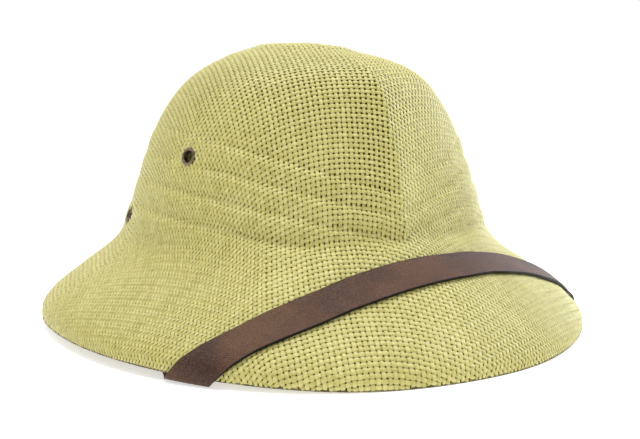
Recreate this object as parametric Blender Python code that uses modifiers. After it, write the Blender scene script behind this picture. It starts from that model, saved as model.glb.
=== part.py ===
"""Woven straw sun helmet: one moulded shell, a leather chin strap laid over the front
of the brim, and four metal eyelets. The front faces -Y and the hem stands on Z = 0."""

import math

import bmesh
import bpy
import numpy as np
from mathutils import Matrix

MM = 0.001
TINY = 1e-6
HELMET_NAME = "pith_helmet"

# The moulded form, apex to hem, in millimetres. A row is one closed oval round the head:
# its heights and half lengths at the front, back and side, how far the front crease
# stands out of it, and the number of mesh rings that lead down to it.
LEVEL_COLUMNS = ("front_z", "back_z", "side_z", "front", "back", "side", "crease", "rings")
LEVELS = np.array([
    # the round cap moulded on the top
    (149.6, 149.6, 149.6, 0.0, 0.0, 0.0, 0.0, 0),
    (149.3, 149.3, 149.3, 10.0, 14.0, 12.0, 0.0, 1),
    (148.4, 148.4, 148.4, 19.0, 27.0, 22.5, 0.0, 2),
    (146.5, 146.5, 146.5, 25.5, 34.0, 29.5, 0.0, 1),
    (145.2, 145.2, 145.2, 30.5, 38.5, 34.0, 0.4, 1),
    # the dome and its shoulder
    (143.6, 143.6, 143.6, 36.0, 43.5, 39.5, 4.5, 1),
    (141.2, 141.2, 141.2, 43.5, 47.3, 44.8, 7.5, 1),
    (137.0, 137.0, 137.0, 55.0, 56.2, 53.3, 9.0, 2),
    (129.5, 129.5, 129.5, 65.5, 67.4, 63.7, 9.0, 2),
    (117.0, 117.0, 117.0, 73.2, 78.8, 73.9, 8.5, 2),
    # the wall of the crown
    (100.0, 100.0, 100.0, 81.0, 88.6, 83.0, 8.0, 4),
    (83.0, 83.0, 83.0, 87.0, 95.6, 88.9, 7.5, 5),
    (66.0, 66.0, 66.0, 92.7, 101.0, 94.2, 6.5, 5),
    (55.4, 55.4, 54.4, 95.8, 104.2, 98.0, 5.0, 2),
    # the fold, the sloping brim and its rolled edge
    (51.0, 51.0, 47.5, 102.8, 107.4, 99.4, 1.2, 2),
    (44.0, 43.5, 41.0, 110.3, 111.0, 104.0, 0.5, 2),
    (27.0, 26.5, 26.5, 133.0, 124.4, 124.0, 0.0, 4),
    (10.5, 10.5, 13.9, 155.3, 134.0, 141.6, 0.0, 3),
    (5.2, 5.2, 9.7, 159.3, 136.4, 144.4, 0.0, 1),
    (1.8, 1.8, 6.4, 160.0, 136.8, 144.8, 0.0, 1),
    (0.0, 0.0, 4.8, 160.0, 136.8, 144.8, 0.0, 1),
])
SHAPE_COLUMNS = LEVEL_COLUMNS[:-1]
CAP_SHOULDER_LEVEL = 2
CAP_FOOT_LEVEL = 4
FOLD_LEVEL = 14

# The ovals' common axis stands this far behind the origin, which is the middle of the hem.
AXIS_Y = 11.6
WALL = 2.0
OVAL_POWER = 2.1
FLAT_ARC = 0.2
SHELL_COLUMNS = 52
SHARP_ANGLE = math.radians(45)
PROFILE_SAMPLES = 240

# The front crease stands a little to the wearer's left of the middle, and the crown leans
# that way too.
CREASE_AZIMUTH = math.radians(1.5)
CREASE_WIDTH = math.radians(14)
CROWN_LEAN = 1.0
CROWN_LEAN_REACH = 0.08

# Shallow lobes round the cap's shoulder; their reach is a share of the way to its foot.
CAP_LOBES = 8
CAP_LOBE_HEIGHT = 0.4
CAP_LOBE_REACH = 0.65

# The cap's shoulder has sunk a little on the wearer's left. Places count along the profile.
CAP_SAG_DEPTH = 2.0
CAP_SAG_AZIMUTH = math.radians(70)
CAP_SAG_HALF_WIDTH = math.radians(50)
CAP_SAG_PLACE = 0.12
CAP_SAG_REACH = 0.09
CAP_SAG_START = 0.05

# Pleats round the lower half of the crown, in a V over the front: heights of the top
# pleat and the drop to the next one, at the front centre and added at the sides. The
# offset, fade and start are counted in pleats. They are deepest round PLEAT_MIDDLE, and
# shallower behind and beside the crease.
PLEAT_DEPTH = 2.2
TOP_PLEAT_FRONT_Z = 76.0
TOP_PLEAT_RISE = 27.0
PLEAT_DROP_FRONT = 11.5
PLEAT_DROP_RISE = 2.3
PLEAT_BACK_DIP = 0.3
PLEAT_SKEW = 0.6
PLEAT_OFFSET = 0.12
PLEAT_START = -0.45
PLEAT_FADE = 0.4
PLEAT_FOLD_FADE = 5.0
PLEAT_MIDDLE = math.radians(-22)
PLEAT_BACK_SHARE = 0.8
PLEAT_BACK_START = math.radians(45)
PLEAT_BACK_REACH = math.radians(50)
PLEAT_CREASE_SHARE = 0.5
PLEAT_CREASE_AZIMUTH = math.radians(8)
PLEAT_CREASE_HALF_WIDTH = math.radians(14)
PLEAT_FLAT_RADII = (6.5, 13.0)

# The brim's front is flatter down to the strap's lower edge and steeper below it: it
# swells out by this much. Places count from the fold to the hem.
SWELL_DEPTH = 4.2
SWELL_AZIMUTH = math.radians(18)
SWELL_HALF_WIDTH = math.radians(27)
SWELL_PLACE = 0.335
SWELL_DRIFT = 0.63
SWELL_REACHES = (0.175, 0.37)
SWELL_NORMAL = (0.62, 0.79)
SWELL_FADE = 0.3

# Soft dents pressed into the crown and the brim by handling and by the strap.
DENT_COLUMNS = ("azimuth_deg", "height", "half_width_deg", "half_height", "depth")
DENTS = (
    (-29.5, 108.0, 3.0, 15.0, 0.8),
    (-50.0, 126.0, 4.0, 10.0, 0.7),
    (24.0, 112.0, 7.0, 14.0, 0.6),
    (140.0, 104.0, 8.0, 18.0, 0.7),
    (57.0, 15.0, 10.0, 7.0, 3.4),
    (-50.0, 56.0, 40.0, 4.0, 1.1),
)

# The chin strap: a flat leather band. It lies on the brim close to the straight line of
# the unrolled cone, goes round the hem, and runs up to the low eyelets inside. The table
# gives how far it drifts from that line towards the hem.
STRAP_WIDTH = 18.5
STRAP_THICKNESS = 1.6
STRAP_GAP = 0.6
STRAP_LINES = 5
STRAP_TURN = math.radians(9.0)
STRAP_FRONT_RADIUS = 112.5
STRAP_DRIFT_AZIMUTHS_DEG = np.array([-50, -35, -18, 0, 18, 30, 42, 54, 66])
STRAP_DRIFTS = np.array([2.0, 0.9, 0.2, -0.3, -0.3, -0.2, -0.1, 0.1, 0.3])
BRIM_SLOPE = math.radians(42.0)
STRAP_REACH = math.radians(85.0)
STRAP_REACH_SAMPLES = 600
STRAP_EDGE_ZONE = 17.0
STRAP_PAST_HEM = 14.0
STRAP_WRAP_ANGLE = math.radians(135.0)
STRAP_WALL_GAP = 0.8
STRAP_WALL_RISE = math.radians(27.0)
STRAP_WALL_RUN = 44.0
STRAP_END = 10.0
STRAP_HANG_HEIGHT = 54.5
STRAP_HANG_SOFTNESS = 2.0
STRAP_HANG_SLOPE = 0.05
STRAP_SAMPLES = {"brim": 12, "edge": 6, "wrap": 4, "under": 5, "wall": 6}

# Eyelets: azimuth and height on the wearer's left, mirrored to the right, and the
# thickness they hold.
EYELET_SLACK = 0.9
VENT_SLACK = 0.25
STRAP_GRIP = WALL + STRAP_WALL_GAP + STRAP_THICKNESS + EYELET_SLACK
VENT_GRIP = WALL + VENT_SLACK
EYELETS = {
    "eyelet_vent": {"azimuth_deg": 71.0, "height": 93.4, "grip": VENT_GRIP},
    "eyelet_strap": {"azimuth_deg": 105.0, "height": 57.5, "grip": STRAP_GRIP},
}
EYELET_HOLE = 3.2
EYELET_BARREL = 3.7
EYELET_FLANGE = 5.0
EYELET_INNER_FLANGE = 4.6
EYELET_FLANGE_THICK = 0.9
EYELET_ROUND = 0.35
EYELET_SEAT = 0.4
EYELET_SEGMENTS = 14
HOLE_CLEARANCE = 0.35
HOLE_SEGMENTS = 16
CUTTER_DEPTH = 24.0

MATERIALS = {
    "straw": {"color": (0.58, 0.52, 0.20, 1.0), "roughness": 0.72, "metallic": 0.0},
    "leather": {"color": (0.085, 0.045, 0.036, 1.0), "roughness": 0.5, "metallic": 0.0},
    "antique_brass": {"color": (0.17, 0.12, 0.07, 1.0), "roughness": 0.4, "metallic": 0.9},
}


def smooth_step(x):
    x = np.clip(x, 0.0, 1.0)
    return x * x * (3.0 - 2.0 * x)


def monotone_curve(x, y, at):
    """Cubic through (x, y) that never overshoots its points."""
    step = np.diff(x)
    rise = np.diff(y) / step
    left, right = rise[:-1], rise[1:]
    same_way = left * right > 0
    w_left = 2 * step[1:] + step[:-1]
    w_right = step[1:] + 2 * step[:-1]
    safe_left = np.where(same_way, left, 1.0)
    safe_right = np.where(same_way, right, 1.0)
    inner = (w_left + w_right) / (w_left / safe_left + w_right / safe_right)
    slope = np.concatenate(([rise[0]], np.where(same_way, inner, 0.0), [rise[-1]]))
    k = np.clip(np.searchsorted(x, at, side="right") - 1, 0, len(step) - 1)
    u = (at - x[k]) / step[k]
    start = (1 + 2 * u) * (1 - u) ** 2 * y[k] + u * (1 - u) ** 2 * step[k] * slope[k]
    end = u * u * (3 - 2 * u) * y[k + 1] + u * u * (u - 1) * step[k] * slope[k + 1]
    return start + end


def column(name):
    return LEVELS[:, LEVEL_COLUMNS.index(name)]


def level_positions():
    """Place of each level along the profile, 0 at the apex and 1 at the hem."""
    radius = (column("front") + column("side")) / 2
    height = (column("front_z") + column("side_z")) / 2
    chords = np.hypot(np.diff(radius), np.diff(height))
    return np.concatenate(([0.0], np.cumsum(chords))) / chords.sum()


POSITIONS = level_positions()


def end_weight(theta):
    """1 on the flat arcs at the front and back, falling to 0 at the sides."""
    return 1.0 - smooth_step((np.abs(np.sin(theta)) - FLAT_ARC) / (1.0 - FLAT_ARC))


def wrap_angle(theta):
    return (theta + math.pi) % (2 * math.pi) - math.pi


def pleat_rise(theta):
    """0 at the front centre, 1 at the sides, a little under 1 at the back."""
    front = np.abs(np.sin(theta))
    back = 1.0 - PLEAT_BACK_DIP * np.cos(theta) ** 2
    return np.where(np.cos(theta) > 0, front, back)


def eyelet_flatness(theta, height, radius):
    """0 under each eyelet, where the wall is pressed flat, and 1 away from them."""
    flat = np.ones_like(height)
    inner, outer = PLEAT_FLAT_RADII
    for eyelet in EYELETS.values():
        side = np.abs(wrap_angle(theta)) - math.radians(eyelet["azimuth_deg"])
        distance = np.hypot(side * radius, height - eyelet["height"])
        flat = flat * smooth_step((distance - inner) / (outer - inner))
    return flat


def pleat_strength(theta):
    """1 where the pleats are deepest, less behind and beside the crease."""
    turn = np.abs(wrap_angle(theta - PLEAT_MIDDLE))
    behind = smooth_step((turn - PLEAT_BACK_START) / PLEAT_BACK_REACH)
    beside = wrap_angle(theta - PLEAT_CREASE_AZIMUTH) / PLEAT_CREASE_HALF_WIDTH
    return (1 - PLEAT_BACK_SHARE * behind) * (1 - PLEAT_CREASE_SHARE * np.exp(-beside ** 2))


def pleat_offset(theta, height, radius):
    """Overlapping pleats: a quick step out, then a slow return down to the next."""
    rise = pleat_rise(theta)
    top = TOP_PLEAT_FRONT_Z + TOP_PLEAT_RISE * rise
    count = (top - height) / (PLEAT_DROP_FRONT + PLEAT_DROP_RISE * rise)
    phase = 2 * math.pi * (count - PLEAT_OFFSET)
    wave = np.cos(phase + PLEAT_SKEW * np.cos(phase) - PLEAT_SKEW)
    fade_in = smooth_step((count - PLEAT_START) / PLEAT_FADE)
    fade_out = smooth_step((height - column("side_z")[FOLD_LEVEL]) / PLEAT_FOLD_FADE)
    strength = pleat_strength(theta) * eyelet_flatness(theta, height, radius)
    return PLEAT_DEPTH / 2 * wave * fade_in * fade_out * strength


def dent_offset(theta, height):
    total = np.zeros_like(height)
    for row in DENTS:
        dent = dict(zip(DENT_COLUMNS, row))
        turn = wrap_angle(theta - math.radians(dent["azimuth_deg"]))
        across = turn / math.radians(dent["half_width_deg"])
        along = (height - dent["height"]) / dent["half_height"]
        total = total - dent["depth"] * np.exp(-across ** 2 - along ** 2)
    return total


def cap_lobe_height(theta, t):
    shoulder = POSITIONS[CAP_SHOULDER_LEVEL]
    reach = (POSITIONS[CAP_FOOT_LEVEL] - shoulder) * CAP_LOBE_REACH
    return CAP_LOBE_HEIGHT * np.cos(CAP_LOBES * theta) * np.exp(-((t - shoulder) / reach) ** 2)


def cap_sag(theta, t):
    across = wrap_angle(theta - CAP_SAG_AZIMUTH) / CAP_SAG_HALF_WIDTH
    along = (t - CAP_SAG_PLACE) / CAP_SAG_REACH
    return CAP_SAG_DEPTH * np.exp(-across ** 2 - along ** 2) * smooth_step(t / CAP_SAG_START)


def brim_swell(theta, t):
    share = (t - POSITIONS[FOLD_LEVEL]) / (1 - POSITIONS[FOLD_LEVEL])
    below = share - SWELL_PLACE - SWELL_DRIFT * wrap_angle(theta - STRAP_TURN) ** 2
    along = below / np.where(below < 0, SWELL_REACHES[0], SWELL_REACHES[1])
    across = wrap_angle(theta - SWELL_AZIMUTH) / SWELL_HALF_WIDTH
    fade = smooth_step(share / SWELL_FADE) * smooth_step((1 - share) / SWELL_FADE)
    return SWELL_DEPTH * np.exp(-across ** 2 - along ** 2) * fade


def shell_point(theta, t):
    """Outer surface at azimuth theta (0 = front, towards +X) and profile place t, in mm."""
    theta, t = np.broadcast_arrays(np.asarray(theta, float), np.asarray(t, float))
    value = {name: monotone_curve(POSITIONS, column(name), t) for name in SHAPE_COLUMNS}
    cosine, sine = np.cos(theta), np.sin(theta)
    ahead = cosine > 0
    length = np.maximum(np.where(ahead, value["front"], value["back"]), TINY)
    width = np.maximum(value["side"], TINY)
    inverse = (np.abs(cosine) / length) ** OVAL_POWER + (np.abs(sine) / width) ** OVAL_POWER
    radius = inverse ** (-1 / OVAL_POWER)
    from_crease = np.abs(wrap_angle(theta - CREASE_AZIMUTH))
    radius = radius + value["crease"] * np.exp(-from_crease / CREASE_WIDTH)
    end_z = np.where(ahead, value["front_z"], value["back_z"])
    height = value["side_z"] + (end_z - value["side_z"]) * end_weight(theta)
    radius = radius + pleat_offset(theta, height, radius) + dent_offset(theta, height)
    swell = brim_swell(theta, t)
    radius = radius + swell * SWELL_NORMAL[0]
    height = height + cap_lobe_height(theta, t) - cap_sag(theta, t) + swell * SWELL_NORMAL[1]
    lean = CROWN_LEAN * smooth_step((POSITIONS[FOLD_LEVEL] - t) / CROWN_LEAN_REACH)
    return np.stack([radius * sine + lean, AXIS_Y - radius * cosine, height], axis=-1)


def unit(vector):
    return vector / np.linalg.norm(vector, axis=-1, keepdims=True)


def shell_frame(theta, t):
    """Point, outward normal and downward tangent of the outer surface."""
    step = 1e-3
    t_low, t_high = np.clip(t - step, 0, 1), np.clip(t + step, 0, 1)
    down = unit(shell_point(theta, t_high) - shell_point(theta, t_low))
    around = unit(shell_point(theta + step, t) - shell_point(theta - step, t))
    return shell_point(theta, t), unit(np.cross(down, around)), down


def place_on_wall(theta, height):
    """Profile place on the crown's wall at each azimuth and height."""
    t = np.linspace(POSITIONS[CAP_FOOT_LEVEL], POSITIONS[FOLD_LEVEL], PROFILE_SAMPLES)
    places = np.empty_like(height)
    for index in np.ndindex(height.shape):
        heights = shell_point(np.full_like(t, theta[index]), t)[:, 2]
        places[index] = np.interp(-height[index], -heights, t)
    return places


def make_material(name):
    """Principled material from the table."""
    material = bpy.data.materials.new(name)
    material.use_nodes = True
    shader = material.node_tree.nodes["Principled BSDF"]
    shader.inputs["Base Color"].default_value = MATERIALS[name]["color"]
    shader.inputs["Roughness"].default_value = MATERIALS[name]["roughness"]
    shader.inputs["Metallic"].default_value = MATERIALS[name]["metallic"]
    material.diffuse_color = MATERIALS[name]["color"]
    return material


def grid_object(name, points, closed, collection):
    """Sheet of quads over points[row, column], in mm; closed joins the last column
    to the first. Its faces look along (down the rows) x (along the columns)."""
    rows, columns = points.shape[:2]
    index = np.arange(rows * columns).reshape(rows, columns)
    if closed:
        index = np.concatenate((index, index[:, :1]), axis=1)
    corners = (index[:-1, :-1], index[1:, :-1], index[1:, 1:], index[:-1, 1:])
    faces = np.stack(corners, axis=-1).reshape(-1, 4)
    mesh = bpy.data.meshes.new(name)
    mesh.from_pydata((points.reshape(-1, 3) * MM).tolist(), [], faces.tolist())
    form = bmesh.new()
    form.from_mesh(mesh)
    bmesh.ops.remove_doubles(form, verts=form.verts, dist=TINY)
    form.to_mesh(mesh)
    form.free()
    mesh.shade_smooth()
    mesh.set_sharp_from_angle(angle=SHARP_ANGLE)
    sheet = bpy.data.objects.new(name, mesh)
    collection.objects.link(sheet)
    return sheet


def add_thickness(sheet, thickness, offset):
    solid = sheet.modifiers.new("thickness", "SOLIDIFY")
    solid.thickness = thickness * MM
    solid.offset = offset
    solid.use_even_offset = True


def add_hole(target, cutter):
    cut = target.modifiers.new("hole_" + cutter.name, "BOOLEAN")
    cut.operation = "DIFFERENCE"
    cut.solver = "EXACT"
    cut.object = cutter


def ring_places():
    """Profile places of the shell's mesh rings, from the table's last column."""
    places = [0.0]
    for level, count in enumerate(column("rings").astype(int)):
        if count:
            steps = np.linspace(POSITIONS[level - 1], POSITIONS[level], count + 1)
            places.extend(steps[1:])
    return np.array(places)


def make_shell(collection):
    t = ring_places()[:, None]
    turns = np.linspace(0, 2 * math.pi, SHELL_COLUMNS, endpoint=False)
    theta = (CREASE_AZIMUTH + turns)[None, :]
    shell = grid_object("shell", shell_point(theta, t), True, collection)
    add_thickness(shell, WALL, -1)
    return shell


def brim_lengths(theta):
    """Profile places from the fold to the hem and the length down the brim to each."""
    t = np.linspace(POSITIONS[FOLD_LEVEL], 1.0, PROFILE_SAMPLES)
    points = shell_point(theta[:, None], t[None, :])
    steps = np.linalg.norm(np.diff(points, axis=1), axis=-1)
    lengths = np.concatenate((np.zeros((len(theta), 1)), np.cumsum(steps, axis=1)), axis=1)
    return t, lengths


def strap_course(theta, across):
    """Length down the brim from the fold to one line of the strap."""
    flat = math.cos(BRIM_SLOPE)
    first, last = STRAP_DRIFT_AZIMUTHS_DEG[0], STRAP_DRIFT_AZIMUTHS_DEG[-1]
    azimuth = np.clip(np.degrees(theta), first, last)
    shift = across + monotone_curve(STRAP_DRIFT_AZIMUTHS_DEG, STRAP_DRIFTS, azimuth)
    fold = np.mean([column("front")[FOLD_LEVEL], column("side")[FOLD_LEVEL]]) / flat
    line = (STRAP_FRONT_RADIUS / flat + shift) / np.cos(flat * (theta - STRAP_TURN))
    return line - fold


def hanging_point(theta, height, depth):
    """Point behind the crown's wall by depth; below the fold it hangs on downwards."""
    above = (height - STRAP_HANG_HEIGHT) / STRAP_HANG_SOFTNESS
    level = STRAP_HANG_HEIGHT + STRAP_HANG_SOFTNESS * np.log1p(np.exp(above))
    point, normal, _ = shell_frame(theta, place_on_wall(theta, level))
    outward = np.stack([np.sin(theta), -np.cos(theta), np.zeros_like(theta)], axis=-1)
    drop = (level - height)[:, None]
    return point - normal * depth + outward * drop * STRAP_HANG_SLOPE - [0, 0, 1] * drop


def smooth_bridge(start, leave, end, arrive, share):
    """Cubic from start to end that leaves and arrives along the given tangents."""
    u = share[:, None]
    return (start * (1 + 2 * u) * (1 - u) ** 2 + leave * u * (1 - u) ** 2
            + end * u * u * (3 - 2 * u) + arrive * u * u * (u - 1))


def strap_over_brim(side, turns, across):
    """Stretch of one line of the strap on top of the brim."""
    theta = STRAP_TURN + side * turns
    down = strap_course(theta, across)
    t, lengths = brim_lengths(theta)
    places = np.array([np.interp(down[i], lengths[i], t) for i in range(len(turns))])
    point, normal, _ = shell_frame(theta, places)
    return point + normal * (STRAP_GAP + STRAP_THICKNESS / 2)


def strap_on_wall(side, across):
    """Stretch of one line of the strap inside the crown, up to and past its eyelet."""
    eyelet = EYELETS["eyelet_strap"]
    along = np.linspace(-STRAP_WALL_RUN, STRAP_END, STRAP_SAMPLES["wall"])
    backward = along * math.cos(STRAP_WALL_RISE) - across * math.sin(STRAP_WALL_RISE)
    upward = along * math.sin(STRAP_WALL_RISE) + across * math.cos(STRAP_WALL_RISE)
    wall_radius = column("side")[FOLD_LEVEL]
    theta = side * (math.radians(eyelet["azimuth_deg"]) + backward / wall_radius)
    height = eyelet["height"] + upward
    return hanging_point(theta, height, WALL + STRAP_WALL_GAP + STRAP_THICKNESS / 2)


def strap_line(side, across):
    """Half of one line along the strap, from the front to its end at an eyelet.
    side is -1 or 1; across is the distance from the strap's middle, towards the hem."""
    turn = np.linspace(0, STRAP_REACH, STRAP_REACH_SAMPLES)
    theta = STRAP_TURN + side * turn
    past_hem = strap_course(theta, across) - brim_lengths(theta)[1][:, -1]
    used = int(np.argmax(past_hem > STRAP_PAST_HEM))
    past_hem, turn = past_hem[:used], turn[:used]

    edge_turn = np.interp(-STRAP_EDGE_ZONE, past_hem, turn)
    brim_turns = np.linspace(0, edge_turn, STRAP_SAMPLES["brim"], endpoint=False)
    before_hem = np.linspace(-STRAP_EDGE_ZONE, 0, STRAP_SAMPLES["edge"])
    turns = np.concatenate((brim_turns, np.interp(before_hem, past_hem, turn)))
    over = strap_over_brim(side, turns, across)

    radius = WALL / 2 + STRAP_GAP + STRAP_THICKNESS / 2
    angle = np.linspace(0, STRAP_WRAP_ANGLE, STRAP_SAMPLES["wrap"] + 1)[1:]
    theta = STRAP_TURN + side * np.interp(angle * radius, past_hem, turn)
    point, normal, down = shell_frame(theta, np.ones_like(theta))
    bend = normal * np.cos(angle)[:, None] + down * np.sin(angle)[:, None]
    wrap = point - normal * WALL / 2 + bend * radius

    wall = strap_on_wall(side, across)
    span = np.linalg.norm(wall[0] - wrap[-1])
    leave = unit(wrap[-1] - wrap[-2]) * span
    arrive = unit(wall[1] - wall[0]) * span
    share = np.linspace(0, 1, STRAP_SAMPLES["under"] + 2)[1:-1]
    under = smooth_bridge(wrap[-1], leave, wall[0], arrive, share)
    return np.concatenate((over, wrap, under, wall))


def make_strap(collection):
    offsets = np.linspace(-STRAP_WIDTH / 2, STRAP_WIDTH / 2, STRAP_LINES)
    left = np.stack([strap_line(-1, offset) for offset in offsets])
    right = np.stack([strap_line(1, offset) for offset in offsets])
    points = np.concatenate((left[:, ::-1], right[:, 1:]), axis=1)
    strap = grid_object("strap", points, False, collection)
    add_thickness(strap, STRAP_THICKNESS, 0)
    return strap


def eyelet_matrix(azimuth, height):
    """Place on the outer surface, with local Z along the wall's outward normal."""
    theta, level = np.array([azimuth]), np.array([height])
    point, normal, down = (v[0] for v in shell_frame(theta, place_on_wall(theta, level)))
    around = np.cross(-down, normal)
    matrix = Matrix.Identity(4)
    for axis, vector in enumerate((around, -down, normal)):
        matrix.col[axis][:3] = vector
    matrix.col[3][:3] = point * MM
    return matrix


def eyelet_profile(grip):
    """Closed section of a set eyelet as (radius, height) pairs: the outer side runs
    down, from the domed flange outside to the rolled one inside."""
    seat, top = EYELET_SEAT, EYELET_SEAT + EYELET_FLANGE_THICK
    inner_seat, bottom = -grip - EYELET_SEAT, -grip - EYELET_SEAT - EYELET_FLANGE_THICK
    return (
        (EYELET_HOLE + EYELET_ROUND, top),
        (EYELET_FLANGE - 2 * EYELET_ROUND, top),
        (EYELET_FLANGE, seat + EYELET_ROUND),
        (EYELET_FLANGE - EYELET_ROUND / 2, seat),
        (EYELET_BARREL, seat),
        (EYELET_BARREL, inner_seat),
        (EYELET_INNER_FLANGE, inner_seat),
        (EYELET_INNER_FLANGE - EYELET_ROUND, bottom),
        (EYELET_HOLE, bottom + EYELET_ROUND),
        (EYELET_HOLE, top - EYELET_ROUND),
    )


def make_eyelet(name, matrix, grip, collection):
    """Section turned about local Z with a Screw modifier."""
    profile = eyelet_profile(grip)
    verts = [(radius * MM, 0.0, height * MM) for radius, height in profile]
    edges = [(i, (i + 1) % len(verts)) for i in range(len(verts))]
    mesh = bpy.data.meshes.new(name)
    mesh.from_pydata(verts, edges, [])
    eyelet = bpy.data.objects.new(name, mesh)
    eyelet.matrix_world = matrix
    collection.objects.link(eyelet)
    screw = eyelet.modifiers.new("turn", "SCREW")
    screw.steps = screw.render_steps = EYELET_SEGMENTS
    screw.use_merge_vertices = True
    screw.merge_threshold = 0.00001
    screw.use_smooth_shade = True
    return eyelet


def make_cutter(name, matrix, collection):
    """Round punch through the wall at an eyelet."""
    bpy.ops.mesh.primitive_cylinder_add(
        vertices=HOLE_SEGMENTS,
        radius=(EYELET_BARREL + HOLE_CLEARANCE) * MM,
        depth=CUTTER_DEPTH * MM)
    cutter = bpy.context.object
    cutter.name = name
    for home in list(cutter.users_collection):
        home.objects.unlink(cutter)
    collection.objects.link(cutter)
    cutter.matrix_world = matrix
    cutter.hide_render = True
    cutter.display_type = "WIRE"
    return cutter


def main():
    for item in list(bpy.data.objects):
        bpy.data.objects.remove(item, do_unlink=True)
    parts = bpy.data.collections.new(HELMET_NAME)
    cutters = bpy.data.collections.new(HELMET_NAME + "_cutters")
    bpy.context.scene.collection.children.link(parts)
    bpy.context.scene.collection.children.link(cutters)

    shell = make_shell(parts)
    strap = make_strap(parts)
    finishes = {name: make_material(name) for name in MATERIALS}
    shell.data.materials.append(finishes["straw"])
    strap.data.materials.append(finishes["leather"])

    for name, eyelet in EYELETS.items():
        for side, side_name in ((1, "left"), (-1, "right")):
            full_name = name + "_" + side_name
            azimuth = side * math.radians(eyelet["azimuth_deg"])
            matrix = eyelet_matrix(azimuth, eyelet["height"])
            piece = make_eyelet(full_name, matrix, eyelet["grip"], parts)
            piece.data.materials.append(finishes["antique_brass"])
            cutter = make_cutter("cutter_" + full_name, matrix, cutters)
            add_hole(shell, cutter)
            if name == "eyelet_strap":
                add_hole(strap, cutter)


main()
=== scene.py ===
import math

import bpy
import numpy as np
from mathutils import Matrix, Vector


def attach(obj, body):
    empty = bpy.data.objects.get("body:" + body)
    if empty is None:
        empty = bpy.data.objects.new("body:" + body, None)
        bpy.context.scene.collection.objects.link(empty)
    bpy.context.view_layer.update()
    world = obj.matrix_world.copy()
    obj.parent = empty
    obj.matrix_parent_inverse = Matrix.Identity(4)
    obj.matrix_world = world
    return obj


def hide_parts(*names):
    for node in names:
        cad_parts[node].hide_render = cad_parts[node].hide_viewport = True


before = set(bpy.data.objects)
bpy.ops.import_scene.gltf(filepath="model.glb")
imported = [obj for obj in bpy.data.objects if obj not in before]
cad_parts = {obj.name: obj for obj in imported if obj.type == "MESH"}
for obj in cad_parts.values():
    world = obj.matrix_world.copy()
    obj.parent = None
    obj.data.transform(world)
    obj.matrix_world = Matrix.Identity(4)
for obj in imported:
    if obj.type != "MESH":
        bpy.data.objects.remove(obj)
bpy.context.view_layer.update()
mm = 0.001
print("frame loaded")

# A row is one closed oval round the head, apex to hem, in mm: its height at the front,
# back and side, its half length to the front, back and side, and how far the front
# crease stands out of it.
ovalNames = ("frontZ", "backZ", "sideZ", "front", "back", "side", "crease")
ovals = np.array([
    (149.6, 149.6, 149.6, 0.0, 0.0, 0.0, 0.0),
    (149.3, 149.3, 149.3, 10.0, 14.0, 12.0, 0.0),
    (148.4, 148.4, 148.4, 19.0, 27.0, 22.5, 0.0),
    (146.5, 146.5, 146.5, 25.5, 34.0, 29.5, 0.0),
    (145.2, 145.2, 145.2, 30.5, 38.5, 34.0, 0.4),
    (143.6, 143.6, 143.6, 36.0, 43.5, 39.5, 4.5),
    (141.2, 141.2, 141.2, 43.5, 47.3, 44.8, 7.5),
    (137.0, 137.0, 137.0, 55.0, 56.2, 53.3, 9.0),
    (129.5, 129.5, 129.5, 65.5, 67.4, 63.7, 9.0),
    (117.0, 117.0, 117.0, 73.2, 78.8, 73.9, 8.5),
    (100.0, 100.0, 100.0, 81.0, 88.6, 83.0, 8.0),
    (83.0, 83.0, 83.0, 87.0, 95.6, 88.9, 7.5),
    (66.0, 66.0, 66.0, 92.7, 101.0, 94.2, 6.5),
    (55.4, 55.4, 54.4, 95.8, 104.2, 98.0, 5.0),
    (51.0, 51.0, 47.5, 102.8, 107.4, 99.4, 1.2),
    (44.0, 43.5, 41.0, 110.3, 111.0, 104.0, 0.5),
    (27.0, 26.5, 26.5, 133.0, 124.4, 124.0, 0.0),
    (10.5, 10.5, 13.9, 155.3, 134.0, 141.6, 0.0),
    (5.2, 5.2, 9.7, 159.3, 136.4, 144.4, 0.0),
    (1.8, 1.8, 6.4, 160.0, 136.8, 144.8, 0.0),
    (0.0, 0.0, 4.8, 160.0, 136.8, 144.8, 0.0),
])
# lengths in mm, azimuths and widths in degrees, places and reaches as shares of the profile
form = {
    "axisY": 11.6,          # the ovals' axis behind the origin
    "wall": 2.0,
    "ovalPower": 2.1,
    "flatArc": 0.2,         # sine of the arc where the hem is flat
    "creaseAzimuth": 1.5,   # towards the wearer's left
    "creaseWidth": 14.0,
    "lean": 1.0,            # the crown leans to the wearer's left
    "leanReach": 0.08,
    "capShoulder": 2,       # rows of the table
    "capFoot": 4,
    "fold": 14,
    "lobes": 8,
    "lobeHeight": 0.4,
    "lobeReach": 0.65,      # share of the way from the cap's shoulder to its foot
    "sag": 2.0,             # the cap's shoulder has sunk on the wearer's left
    "sagAzimuth": 70.0,
    "sagHalfWidth": 50.0,
    "sagPlace": 0.12,
    "sagReach": 0.09,
    "sagStart": 0.05,
    "swell": 4.2,           # the brim is flatter above here and steeper below
    "swellAzimuth": 18.0,
    "swellHalfWidth": 27.0,
    "swellPlace": 0.335,    # share of the way down the brim at the turn
    "swellDrift": 0.63,     # and how it moves down with the square of the angle from there
    "swellTurn": 9.0,
    "swellReach": (0.175, 0.37),   # above and below its middle
    "swellNormal": (0.62, 0.79),   # outward and up
    "hemFade": 0.3,
    "runOn": 250.0,         # cloth past the hem goes on this far for 1 of place
    "runOnSlope": (0.75, -0.66),   # outward and up
    "steps": 240,           # samples down the brim or the crown where it is measured
}
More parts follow.
